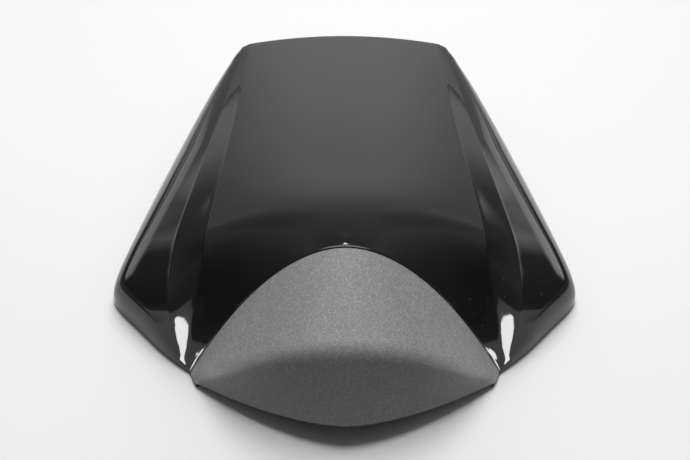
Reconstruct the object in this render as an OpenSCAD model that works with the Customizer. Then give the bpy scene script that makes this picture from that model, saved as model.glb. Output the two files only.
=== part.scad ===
// Solo seat cowl: a moulded shell with a textured front pad on a screwed base.
// Origin: under the middle of the cowl, on the plane that its rim stands on.
// +Y runs from the pad to the tail, +X to the right side, +Z up.

/* [Overall] */
// Length from the front of the pad to the tail edge
cowl_len = 318; // [300:1:336]
// Width across the wing corners
wing_w = 291; // [280:1:304]
// Height of the crown above the rim
crown_h = 97; // [90:1:106]
// Wall of the shell
wall = 3; // [2.2:0.1:3.6]

/* [Tail] */
// Width of the tail end
tail_w = 154; // [146:1:160]
// Height of the tail edge
tail_h = 50; // [46:1:56]
// Bulge of the tail edge towards the rear
tail_bow = 2.5; // [1:0.1:4]

/* [Hump] */
// Width across the inner creases at the tail
hump_tail_w = 136; // [128:1:140]
// Width across the two front tips of the shell
tip_w = 186; // [178:1:194]
// Height of the front tips
tip_h = 3; // [2:0.5:5]
// Distance of the front tips behind the front of the pad
tip_back = 50.4; // [44:0.2:56]
// Distance of the top of the arch behind the front tips
arch_back = 18; // [12:1:24]
// Largest radius of the rolled shoulders
roll = 32; // [24:1:36]

/* [Pad] */
// Thickness of the pad
pad_t = 4; // [3:0.1:5]
// Width of the shell's lip along the arch over the pad
lip_w = 1.2; // [0.8:0.1:2]
// Gap between the pad and its seat
pad_gap = 0.3; // [0.1:0.05:0.4]
// Height of the crease across the pad
crease_h = 64; // [58:1:68]
// Distance of the crease behind the front of the pad
crease_back = 17.6; // [14:0.2:22]
// Radius of the crease
crease_r = 16; // [10:1:20]
// Height of the front rim at its middle
front_h = 18; // [14:1:22]
// Diameter of the pad's studs
stud_d = 5; // [4:0.5:6]
// Length of the pad's studs behind the pad
stud_len = 9; // [8:0.5:12]

/* [Inside of the shell] */
// Thickness of the ribs
rib_t = 2.2; // [1.6:0.1:3]
// Depth of the ribs under the skin
rib_h = 7; // [5:0.5:10]
// Diameter of the screw bosses
boss_d = 11; // [9:0.5:13]

/* [Base] */
// Height of the underside of the base plate
base_z = 20; // [19:0.5:22]
// Thickness of the base plate
base_t = 2.8; // [2.2:0.1:3.4]
// Gap between the rim of the shell and the base plate
base_gap = 9; // [8:0.5:12]
// Height of the stiffening ribs on the base plate
base_rib_h = 5; // [3:0.5:6]
// Width of the two tail hooks
hook_w = 26; // [20:1:32]
// Thickness of the tail hooks
hook_t = 3.5; // [3:0.1:4.5]

/* [Latch] */
// Diameter of the striker rod
striker_d = 6; // [5:0.5:7]
// Distance between the legs of the striker
striker_w = 30; // [26:1:36]
// Clear height inside the striker loop
striker_drop = 10.5; // [9:0.1:11.4]
// Bend radius of the striker rod at its middle
striker_bend = 6; // [5:0.5:8]
// Length of the striker plate
striker_plate_w = 70; // [60:1:80]
// Breadth of the striker plate
striker_plate_d = 26; // [22:1:32]
// Thickness of the striker plate
striker_plate_t = 2; // [1.5:0.1:3]
// Distance of the striker in front of the middle of the cowl
striker_front = 40; // [30:1:46]

/* [Fasteners] */
// Diameter of the base screws
screw_d = 5; // [4:0.5:5.5]
// Length of the base screws under the head
screw_len = 16; // [12:1:20]
// Diameter of the screw heads
screw_head_d = 9; // [8:0.5:10]
// Thickness of the washers
washer_t = 1; // [0.8:0.1:1.4]
// Diameter of the washers
washer_d = 14; // [12:0.5:16]
// Width of the hexagon nuts across the flats
nut_af = 10; // [9:0.5:11]
// Height of the hexagon nuts
nut_h = 5; // [4:0.5:6]

/* [Rubber bumpers] */
// Diameter of the bumpers
bumper_d = 20; // [16:1:22]
// Height of the bumpers under the base plate
bumper_h = 9; // [7:0.5:10]
// Diameter of the neck that holds a bumper
bumper_neck_d = 9; // [8:0.5:11]

/* [Hidden] */
eps = 0.01;

// Ends of the cowl along Y; the tail wall leans out by foot_draft at its foot
foot_draft = 1;
tail_y = cowl_len / 2 - foot_draft;
front_y = -cowl_len / 2;
tip_y = front_y + tip_back;
arch_y = tip_y + arch_back;
tip_x = tip_w / 2;
run = tail_y - tip_y;

// The long lines of the shell run through ten stations from the tail edge to the
// front tips. Each list holds one value for a station: a share of the run along Y,
// of the half width between two named widths, or of the roof's height there.
roof_run_share = [0, 0.093, 0.258, 0.475, 0.661, 0.762, 0.818, 0.863, 0.908, 0.933];
roof_rise_share = [0, 0.117, 0.326, 0.6, 0.836, 0.968, 1.02, 1.02, 1, 0.957];
inner_run_share = [0, 0.101, 0.265, 0.482, 0.669, 0.803, 0.863, 0.916, 0.96, 1];
inner_width_share = [0, 0.06, 0.08, 0.18, 0.32, 0.44, 0.5, 0.66, 0.96, 1];
inner_rise_share = [0.89, 0.883, 0.873, 0.87, 0.862, 0.853, 0.806, 0.582, 0.227, 0];
outer_run_share = [0.02, 0.108, 0.277, 0.482, 0.658, 0.766, 0.841, 0.908, 0.96, 1];
outer_width_share = [0.61, 0.317, 0.297, 0.314, 0.339, 0.368, 0.394, 0.54, 0.59, 1];
outer_rise_share = [0.87, 0.829, 0.773, 0.703, 0.622, 0.524, 0.444, 0.327, 0.134, 0];
edge_run_share = [0.045, 0.123, 0.295, 0.501, 0.676, 0.766, 0.807, 0.886, 0.957, 1];
edge_width_share = [0, 0.19, 0.438, 0.7, 0.89, 1, 0.978];
edge_front_share = [0.6, 0.286, 0];
edge_rise_share = [0.84, 0.757, 0.628, 0.473, 0.347, 0.23, 0.173, 0.133, 0.072, 0];
roll_share = [0, 0.56, 0.88, 1, 0.94, 0.81, 0.5, 0.31, 0.19, 0];
rim_share = [0, 0, 0, 0, 0, 0, 0.5, 1, 1, 1];
wing_corner = len(edge_width_share);

function mix(a, b, s) = a + (b - a) * s;
function mid(a, b) = (a + b) / 2;

// Clamped quadratic spline through control values or points, t from 0 to 1
function spline(c, t) =
  let (n = len(c) - 2, s = min(max(t, 0), 1) * n, i = min(floor(s), n - 1), f = s - i,
    a = i == 0 ? c[0] : mid(c[i], c[i + 1]),
    z = i == n - 1 ? c[n + 1] : mid(c[i + 1], c[i + 2]))
  (1 - f) * (1 - f) * a + 2 * f * (1 - f) * c[i + 1] + f * f * z;

function along(s) = tail_y - run * s;

// Control points of the lines, d under the outer skin
function roof(d) = [for (k = [0:9])
  [0, along(roof_run_share[k]) - (k == 0 ? d : 0) + (k > 7 ? 1.6 * d : 0),
    mix(tail_h, crown_h, roof_rise_share[k]) - d]];
function inner_crease(d) = [for (k = [0:9])
  [mix(hump_tail_w / 2, tip_x, inner_width_share[k]) - (k > 6 ? 1 : 0.55) * d,
    along(inner_run_share[k]) + (k == 0 ? -d - tail_bow : k > 7 ? 1.3 * d : 0),
    line_up(inner_rise_share[k], k) - 0.85 * d]];
function wing_edge(d) = [for (k = [0:9])
  let (corner = wing_w / 2,
    x = k < wing_corner ? mix(tail_w / 2, corner, edge_width_share[k])
      : mix(tip_x, corner, edge_front_share[k - wing_corner]))
  [x - d, along(edge_run_share[k]) + (k == 0 ? -d : k > 5 ? 1.3 * d : 0),
    line_up(edge_rise_share[k], k) - 0.6 * d]];
function outer_crease(d) =
  let (a = inner_crease(0), b = wing_edge(0))
  [for (k = [0:9])
    [mix(a[k][0], b[k][0], outer_width_share[k]) - (k > 7 ? 1 : 0.6) * d,
      along(outer_run_share[k]) + (k == 0 ? -d : k > 7 ? 1.3 * d : 0),
      line_up(outer_rise_share[k], k) - 0.8 * d]];
function line_up(share, k) = mix(tip_h, mix(tail_h, crown_h, roof_rise_share[k]), share);
function rim_z(v) = tip_h * spline(rim_share, v);

// Half of one cross row at v, from the roof's middle line to the rim
function half_row(v, d, foot_z, n) =
  let (c = spline(roof(d), v), b = spline(inner_crease(d), v), a = spline(outer_crease(d), v),
    e = spline(wing_edge(d), v), foot_out = foot_draft * min(1, (1 - v) / 0.4),
    foot = [e[0] + foot_out, e[1], foot_z],
    wing = a - e, wing_len = max(norm(wing), eps), wall_h = max(e[2] - foot_z, eps),
    r = max(roll - d, 1) * spline(roll_share, v),
    s0 = e + wing * min(r, 0.85 * wing_len) / wing_len,
    t0 = e + (foot - e) * min(r, 0.85 * wall_h) / wall_h)
  concat(
    [for (i = [0:n[0]]) let (u = i / n[0])
      [u * b[0], mix(c[1], b[1], u * u), mix(c[2], b[2], pow(u, mix(2, arch_power, max(0, 4 * v - 3))))]],
    [for (i = [1:n[1]]) mix(b, a, i / n[1])],
    [for (i = [1:n[2]]) mix(a, s0, i / n[2])],
    [for (i = [1:n[3]]) let (f = i / n[3])
      (1 - f) * (1 - f) * s0 + 2 * f * (1 - f) * e + f * f * t0],
    [foot]);

// The pad's face: u runs from side to side and w from the arch over the crease to
// the lower edge. The ends of the crease and of the lower edge lie in from the front
// tips, in front of them and above them by these distances.
arch_power = 1.88;
crease_end = [1.8, 5, 0.5];
front_end = [4, 9.4, 1];
function arch_pt(u) = let (a = abs(u))
  [tip_x * u, mix(arch_y, tip_y, a * a),
    mix(mix(tail_h, crown_h, roof_rise_share[9]), tip_h, pow(a, arch_power))];
function crease_pt(u) = let (a = abs(u))
  [(tip_x - crease_end[0]) * u, mix(front_y + crease_back, tip_y - crease_end[1], a * a * a),
    mix(crease_h, tip_h + crease_end[2], pow(a, 2.25))];
function front_pt(u) = let (a = abs(u))
  [(tip_x - front_end[0]) * u, mix(front_y, tip_y - front_end[1], pow(a, 1.6)),
    mix(front_h, tip_h + front_end[2], pow(a, 1.5))];
// Points where the rounding of the crease starts and ends
function round_from(c, p) = c + (p - c) * min(crease_r / max(norm(p - c), eps), 0.45);
flat_share = 0.35;
function face_pt(u, w) =
  let (p = arch_pt(u), c = crease_pt(u), q = front_pt(u), up = round_from(c, p), dn = round_from(c, q))
  w < flat_share ? mix(p, up, w / flat_share)
  : w > 1 - flat_share ? mix(dn, q, (w - 1 + flat_share) / flat_share)
  : let (f = (w - flat_share) / (1 - 2 * flat_share)) (1 - f) * (1 - f) * up + 2 * f * (1 - f) * c + f * f * dn;
function face_normal(u, w) =
  let (h = 0.002, n = cross(face_pt(min(u + h, 1), w) - face_pt(max(u - h, -1), w),
      face_pt(u, max(w - h, 0)) - face_pt(u, min(w + h, 1))))
  n / norm(n);
// Depth under the face; the pad gets thinner towards its two ends
tip_thin = 0.25;
tip_share = 0.12;
function sink(u, q) = min(q, pad_t) * min(1, tip_thin + (1 - abs(u)) / tip_share) + max(q - pad_t, 0);
// Point q under the face
function pad_pt(u, w, q) = face_pt(u, w) - sink(u, q) * face_normal(u, w);
// The same with the edge along the arch drawn in by e
function inset_pt(u, w, e, q) =
  let (p = arch_pt(u), flat = max(norm(p - round_from(crease_pt(u), p)), eps))
  pad_pt(u, mix(flat_share * min(e / flat, 0.8), 1, w), q);
face_n = 14;
face_m = 13;

// Rows that share a point count, joined into one closed solid. Each row runs from
// the left end to the right end; rows that end in one point give no faces there.
module row_solid(rows) {
  n = len(rows[0]);
  m = len(rows);
  pts = [for (r = rows) for (p = r) p];
  quads = concat(
    [for (j = [0:m - 2]) for (i = [0:n - 2])
      [j * n + i, j * n + i + 1, (j + 1) * n + i + 1, (j + 1) * n + i]],
    [for (j = [0:m - 2]) [j * n, (j + 1) * n, (j + 1) * n + n - 1, j * n + n - 1]],
    [for (i = [0:floor(n / 2) - 1]) [i, n - 1 - i, n - 2 - i, i + 1]],
    [for (i = [0:floor(n / 2) - 1]) let (o = (m - 1) * n)
      [o + i, o + i + 1, o + n - 2 - i, o + n - 1 - i]]);
  tris = [for (q = quads) each [[q[0], q[1], q[2]], [q[0], q[2], q[3]]]];
  polyhedron(pts, [for (t = tris)
    if (norm(cross(pts[t[1]] - pts[t[0]], pts[t[2]] - pts[t[0]])) > 1e-7) t]);
}
function whole_row(half) = concat(
  [for (i = [len(half) - 1:-1:1]) [-half[i][0], half[i][1], half[i][2]]], half);
function ends(p, n) = [for (i = [1:n[1] + n[2] + n[3] + 1]) p];

// Solid inside the skin that lies d under the outer one; open lets it run out
// through the bottom. The outer skin has a lip along the arch, and behind it the pad's
// seat. n holds the steps across roof, facet, wing and roll.
module skin_solid(d, seat, open, n, nv, nw) {
  lip = d == 0 ? lip_w : 0;
  first = half_row(0, d, -open, n);
  tail_row = [for (i = [0:len(first) - 1])
    i <= n[0] ? [first[i][0], first[i][1] + foot_draft, -open]
    : [last(first)[0], last(first)[1] + foot_draft * (i == n[0] ? 1 : 0), -open]];
  body = [for (j = [0:nv]) let (v = j / nv) half_row(v, d, open > 0 ? -open : rim_z(v), n)];
  face = [for (j = [lip > 0 ? -1 : 1:nw]) let (w = max(j, 0) / nw, q = j < 0 ? 0 : seat,
      h = [for (i = [0:n[0]]) let (p = inset_pt(i / n[0], w, lip, q)) [p[0], p[1], p[2] - open * w]])
    concat(h, ends(last(h), n))];
  row_solid([for (h = concat([tail_row], body, face)) whole_row(h)]);
}
function last(a) = a[len(a) - 1];

module outer_solid() { skin_solid(0, pad_t + pad_gap, 0, [face_n, 1, 3, 6], 32, face_m); }
module inner_solid(d) { skin_solid(d, d + pad_t, 4, [10, 1, 2, 3], 24, 9); }

// Slab that follows the pad's face, from q0 to q1 under it and e inside the arch
module pad_slab(e, q0, q1) {
  nu = 2 * face_n;
  nw = face_m;
  pts = [for (q = [q0, q1]) for (j = [0:nw]) for (i = [0:nu]) inset_pt(i / face_n - 1, j / nw, e, q)];
  n = nu + 1;
  o = n * (nw + 1);
  quads = concat(
    [for (j = [0:nw - 1]) for (i = [0:nu - 1])
      [j * n + i, j * n + i + 1, (j + 1) * n + i + 1, (j + 1) * n + i]],
    [for (j = [0:nw - 1]) for (i = [0:nu - 1])
      [o + j * n + i, o + (j + 1) * n + i, o + (j + 1) * n + i + 1, o + j * n + i + 1]],
    [for (i = [0:nu - 1]) [i, o + i, o + i + 1, i + 1]],
    [for (i = [0:nu - 1]) [nw * n + i, nw * n + i + 1, o + nw * n + i + 1, o + nw * n + i]],
    [for (j = [0:nw - 1]) [j * n, (j + 1) * n, o + (j + 1) * n, o + j * n]],
    [for (j = [0:nw - 1]) [j * n + nu, o + j * n + nu, o + (j + 1) * n + nu, (j + 1) * n + nu]]);
  polyhedron(pts, [for (q = quads) each [[q[0], q[1], q[2]], [q[0], q[2], q[3]]]]);
}

// Places of what is fixed through the base plate, on the right side; the left mirrors.
// Each is a station on the wing edge and a distance inside that edge.
boss_spot = [[0.038, 32.5], [0.305, 39], [0.68, 44]];
bumper_spot = [[0.112, 33], [0.823, 61]];
function edge_pt(v) = spline(wing_edge(0), v);
function inside(spots) = [for (s = spots) let (e = edge_pt(s[0])) [e[0] - s[1], e[1]]];
boss_at = inside(boss_spot);
bumper_at = inside(bumper_spot);
// Windows: the stations of the rear and front ends, the distance of the inner side
// from the middle and that of the outer side inside the wing edge
window_spot = [[0.144, 0.28, 18, 39], [0.333, 0.464, 32, 43]];
// Cross ribs at shares of the run, long ribs at a share of the hump's width
cross_rib_share = [0.233, 0.488, 0.743];
long_rib_share = 0.28;
stud_share = [[0.42, 0.16], [0.36, 0.84]];
base_top = base_z + base_t;
striker_y = -striker_front;
rib_foot = base_top + base_rib_h + 3;

module both_sides() {
  children();
  mirror([1, 0, 0]) children();
}
// Puts its children on the pad's face at u, w and q under it, with +Z outwards
module on_face(u, w, q) {
  n = face_normal(u, w);
  translate(pad_pt(u, w, q)) rotate([0, acos(n[2]), atan2(n[1], n[0])]) children();
}

module front_pad() {
  color([0.2, 0.2, 0.21]) {
    pad_slab(lip_w + pad_gap, 0, pad_t);
    both_sides() for (s = stud_share)
      on_face(s[0], s[1], pad_t + stud_len) cylinder(d = stud_d, h = stud_len + pad_t / 2, $fn = 24);
  }
}

module pad_clips() {
  color([0.7, 0.7, 0.72]) both_sides() for (s = stud_share)
    on_face(s[0], s[1], seat_q + clip_h)
      rotate_extrude($fn = 48) polygon([[stud_d / 2 + 0.02, 0], [stud_d / 2 + 1.2, 0], [clip_r, clip_h - clip_t],
        [clip_r, clip_h], [stud_d / 2 + 1.2, clip_t], [stud_d / 2 + 0.02, clip_t]]);
}
clip_r = 6.5;
clip_h = 2;
clip_t = 0.8;
// Depth under the pad's face of the flat seats that the clips press on
seat_q = pad_t + wall + 1.2;

// Tapered boss from the base plate up into the roof
module boss(p) {
  hull() {
    translate([p[0], p[1], base_top]) cylinder(d = boss_d, h = 1, $fn = 24);
    translate([p[0], p[1], crown_h - 1]) cylinder(d = boss_d + 3, h = 1, $fn = 24);
  }
}
// Upright fin between two points, tall enough to reach the roof
module fin(a, b) {
  hull() for (p = [a, b])
    translate([p[0] - rib_t / 2, p[1] - rib_t / 2, rib_foot]) cube([rib_t, rib_t, crown_h]);
}

module cowl_shell() {
  color([0.03, 0.03, 0.035])
    difference() {
      union() {
        difference() {
          outer_solid();
          inner_solid(wall);
        }
        intersection() {
          skin_solid(wall / 2, wall / 2 + pad_t, 0, [10, 1, 2, 3], 24, 9);
          union() {
            both_sides() for (p = boss_at) boss(p);
            both_sides() for (s = stud_share) on_face(s[0], s[1], seat_q) cylinder(r = clip_r + 1, h = wall, $fn = 24);
            difference() {
              union() {
                both_sides() fin([long_rib_share * hump_tail_w, tail_y - 2 * wall],
                  [long_rib_share * hump_tail_w, arch_y]);
                for (s = cross_rib_share) fin([-wing_w / 2, along(s)], [wing_w / 2, along(s)]);
              }
              inner_solid(wall + rib_h);
            }
          }
        }
      }
      both_sides() for (p = boss_at)
        translate([p[0], p[1], base_z]) cylinder(d = screw_d + 0.2, h = screw_len, $fn = 24);
      both_sides() for (s = stud_share)
        on_face(s[0], s[1], pad_t + stud_len) cylinder(d = stud_d + 0.6, h = stud_len + 1, $fn = 24);
    }
}

// Outline of the base plate, clear of the rim and of the rolled shoulders; g draws it
// in. Its front runs over two corners on each side, behind the pad.
nose_rise = 33;
nose_in = 30;
function base_side(g) = [for (v = [0.03:0.05:0.63]) let (e = edge_pt(v))
  [e[0] - base_gap - g - 0.5 * roll * spline(roll_share, v), e[1] - (v < 0.05 ? base_gap + g : 0)]];
function base_outline(g) =
  let (half = concat(base_side(g),
      [[tip_x - 0.7 * g, tip_y + nose_rise + 0.7 * g], [tip_x - nose_in - 0.4 * g, tip_y + g]]))
  concat(half, [for (i = [len(half) - 1:-1:0]) [-half[i][0], half[i][1]]]);

module window(w, d, r) {
  translate([-w / 2 + r, -d / 2]) square([w - 2 * r, d]);
  translate([-w / 2, -d / 2 + r]) square([w, d - 2 * r]);
  for (x = [-1, 1], y = [-1, 1]) translate([x * (w / 2 - r), y * (d / 2 - r)]) circle(r, $fn = 32);
}
window_r = 8;
window_rim = 2;

module base_plate() {
  color([0.1, 0.1, 0.1]) {
    difference() {
      union() {
        translate([0, 0, base_z]) linear_extrude(base_t) polygon(base_outline(0));
        translate([0, 0, base_z]) linear_extrude(base_t + base_rib_h) difference() {
          polygon(base_outline(0));
          polygon(base_outline(window_rim));
        }
        translate([0, 0, base_z]) linear_extrude(base_t + base_rib_h) base_windows(window_rim);
      }
      translate([0, 0, base_z - 1]) linear_extrude(base_t + base_rib_h + 2) base_windows(0);
      both_sides() {
        for (p = boss_at)
          translate([p[0], p[1], base_z - 1]) cylinder(d = screw_d + 0.5, h = base_t + 2, $fn = 32);
        for (p = bumper_at)
          translate([p[0], p[1], base_z - 1]) cylinder(d = bumper_neck_d + 0.1, h = base_t + 2, $fn = 48);
        translate([striker_w / 2, striker_y, base_z - 1]) cylinder(d = striker_d + 0.4, h = base_t + 2, $fn = 48);
      }
    }
    both_sides() tail_hook();
  }
}
module base_windows(grow) {
  both_sides() for (w = window_spot) let (rear = edge_pt(w[0]), front = edge_pt(w[1]), out = rear[0] - w[3])
    translate([mid(w[2], out), mid(rear[1], front[1])])
      window(out - w[2] + 2 * grow, rear[1] - front[1] + 2 * grow, window_r + grow);
}
// Tongue that slips over the frame at the tail: web down from the plate, then a
// tongue that runs to the rear
module tail_hook() {
  web_y = tail_y - hook_back;
  translate([hook_x + hook_w / 2, 0, 0]) rotate([90, 0, -90]) linear_extrude(hook_w) union() {
    translate([-web_y - hook_t, hook_z]) square([hook_t, base_z - hook_z + 0.5]);
    translate([-web_y - hook_reach, hook_z]) square([hook_reach, hook_t]);
    translate([-web_y - hook_reach, hook_z + hook_t / 2]) circle(d = hook_t, $fn = 32);
  }
}
hook_x = 30;
hook_z = 8;
hook_back = 40;
hook_reach = 24;

// Pan-head screw that points up, with its head's seat at z = 0
module pan_screw(d, len, head_d) {
  head_h = 0.38 * head_d;
  difference() {
    rotate_extrude($fn = 48) polygon([[0, -head_h], [0.3 * head_d, -head_h], [0.44 * head_d, -0.75 * head_h],
      [head_d / 2, -0.3 * head_h], [head_d / 2, 0], [d / 2, 0], [d / 2, len - 1], [d / 2 - 1, len], [0, len]]);
    for (a = [0, 90]) rotate([0, 0, a])
      translate([-0.22 * head_d, -0.4, -head_h - 1]) cube([0.44 * head_d, 0.8, 0.6 * head_h + 1]);
  }
}
module base_screws() {
  color([0.62, 0.63, 0.65]) both_sides() for (p = boss_at)
    translate([p[0], p[1], base_z - washer_t]) pan_screw(screw_d, screw_len, screw_head_d);
}
module base_washers() {
  color([0.75, 0.76, 0.78]) both_sides() for (p = boss_at)
    translate([p[0], p[1], base_z - washer_t]) ring(washer_d, screw_d + 0.3, washer_t);
}
module ring(outer, inner, h) {
  difference() {
    cylinder(d = outer, h = h, $fn = 64);
    translate([0, 0, -1]) cylinder(d = inner, h = h + 2, $fn = 48);
  }
}

// Bent rod that the seat lock grips
module latch_striker() {
  low = base_z - striker_plate_t - striker_drop - striker_d / 2;
  top = base_top + washer_t + nut_h + 1.5;
  bend = striker_bend;
  color([0.72, 0.73, 0.75]) translate([0, striker_y, 0]) {
    both_sides() {
      translate([striker_w / 2, 0, low + bend]) cylinder(d = striker_d, h = top - low - bend, $fn = 48);
      translate([striker_w / 2 - bend, 0, low + bend]) rotate([90, 0, 0]) rotate([0, 0, -90])
        rotate_extrude(angle = 90, $fn = 48) translate([bend, 0]) circle(d = striker_d, $fn = 48);
    }
    translate([-striker_w / 2 + bend, 0, low]) rotate([0, 90, 0])
      cylinder(d = striker_d, h = striker_w - 2 * bend, $fn = 48);
  }
}
module striker_plate() {
  color([0.66, 0.67, 0.69]) translate([0, striker_y, base_z - striker_plate_t]) difference() {
    linear_extrude(striker_plate_t) window(striker_plate_w, striker_plate_d, 4);
    for (x = [-1, 1]) translate([x * striker_w / 2, 0, -1])
      cylinder(d = striker_d + 0.4, h = striker_plate_t + 2, $fn = 48);
  }
}
module striker_washers() {
  color([0.75, 0.76, 0.78]) both_sides() translate([striker_w / 2, striker_y, base_top])
    ring(washer_d, striker_d + 0.2, washer_t);
}
module striker_nuts() {
  color([0.7, 0.71, 0.73]) both_sides() translate([striker_w / 2, striker_y, base_top + washer_t])
    difference() {
      cylinder(d = nut_af / cos(30), h = nut_h, $fn = 6);
      translate([0, 0, -1]) cylinder(d = striker_d + 0.04, h = nut_h + 2, $fn = 48);
    }
}

// Rubber bumper under the plate, held by a barb above it
module rubber_bumpers() {
  r = bumper_d / 2;
  neck = bumper_neck_d / 2;
  color([0.06, 0.06, 0.06]) both_sides() for (p = bumper_at) translate([p[0], p[1], base_z])
    rotate_extrude($fn = 64) polygon([[0, -bumper_h], [r - 3, -bumper_h], [r - 1, -bumper_h + 1.5],
      [r, -bumper_h + 4], [r, 0], [neck, 0], [neck, base_t], [neck + 1.5, base_t],
      [neck + 1.2, base_t + 1.5], [neck - 1.5, base_t + 5], [0, base_t + 5]]);
}

cowl_shell();
front_pad();
pad_clips();
base_plate();
base_screws();
base_washers();
latch_striker();
striker_plate();
striker_washers();
striker_nuts();
rubber_bumpers();
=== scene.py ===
import logging
import math
from dataclasses import dataclass, field
from enum import Enum

import bmesh
import bpy
import numpy as np
from mathutils import Matrix, Vector
from mathutils.bvhtree import BVHTree


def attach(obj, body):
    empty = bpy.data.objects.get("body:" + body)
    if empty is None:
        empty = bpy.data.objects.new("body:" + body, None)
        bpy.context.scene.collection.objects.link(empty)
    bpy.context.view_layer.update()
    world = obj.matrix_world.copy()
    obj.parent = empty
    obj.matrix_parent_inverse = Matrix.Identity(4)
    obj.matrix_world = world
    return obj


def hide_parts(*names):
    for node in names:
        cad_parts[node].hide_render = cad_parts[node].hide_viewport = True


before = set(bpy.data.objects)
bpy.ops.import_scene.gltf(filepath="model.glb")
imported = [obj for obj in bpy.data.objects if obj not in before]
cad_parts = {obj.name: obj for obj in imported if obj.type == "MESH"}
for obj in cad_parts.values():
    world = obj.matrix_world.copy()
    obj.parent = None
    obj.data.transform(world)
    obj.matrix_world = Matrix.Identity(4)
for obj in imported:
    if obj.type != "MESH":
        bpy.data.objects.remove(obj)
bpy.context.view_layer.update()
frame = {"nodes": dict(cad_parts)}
MM = 0.001
log = logging.getLogger("seat_cowl")


class Slot(Enum):
    """The record's material slots."""

    SHELL = "gloss_shell"
    PAD = "pad_grain"
    CLIP = "spring_steel"
    BASE = "base_black"
    ZINC = "zinc"
    STRIKER = "striker_steel"
    RUBBER = "bumper_rubber"


class Side(Enum):
    """The side of the cowl's middle that a mirrored feature is on."""

    RIGHT = 1
    LEFT = -1


def mix(a: float | np.ndarray, b: float | np.ndarray, s: float | np.ndarray) -> float | np.ndarray:
    """Value that lies a share s of the way from a to b."""
    return a + (b - a) * s


def unit(v: np.ndarray) -> np.ndarray:
    """Vectors of length one along the last axis, or zero where v is zero."""
    return v / np.maximum(np.linalg.norm(v, axis=-1, keepdims=True), 1e-9)


def spline(control: np.ndarray, t: np.ndarray) -> np.ndarray:
    """Clamped quadratic spline through control values or points.

    Args:
        control: One value or point for each station.
        t: Places along the spline, from 0 to 1.

    Returns:
        One value or point for each t.
    """
    c = np.asarray(control, float)
    c = c[:, None] if c.ndim == 1 else c
    spans = len(c) - 2
    s = np.clip(np.asarray(t, float), 0, 1) * spans
    i = np.minimum(s.astype(int), spans - 1)
    f = (s - i)[:, None]
    start = np.where((i == 0)[:, None], c[0], (c[i] + c[i + 1]) / 2)
    end = np.where((i == spans - 1)[:, None], c[-1], (c[i + 1] + c[np.minimum(i + 2, spans + 1)]) / 2)
    return (1 - f) ** 2 * start + 2 * f * (1 - f) * c[i + 1] + f * f * end


def bend(start: np.ndarray, corner: np.ndarray, end: np.ndarray, f: float | np.ndarray) -> np.ndarray:
    """Point at f on the round that replaces a corner between start and end."""
    return (1 - f) ** 2 * start + 2 * f * (1 - f) * corner + f * f * end


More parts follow.
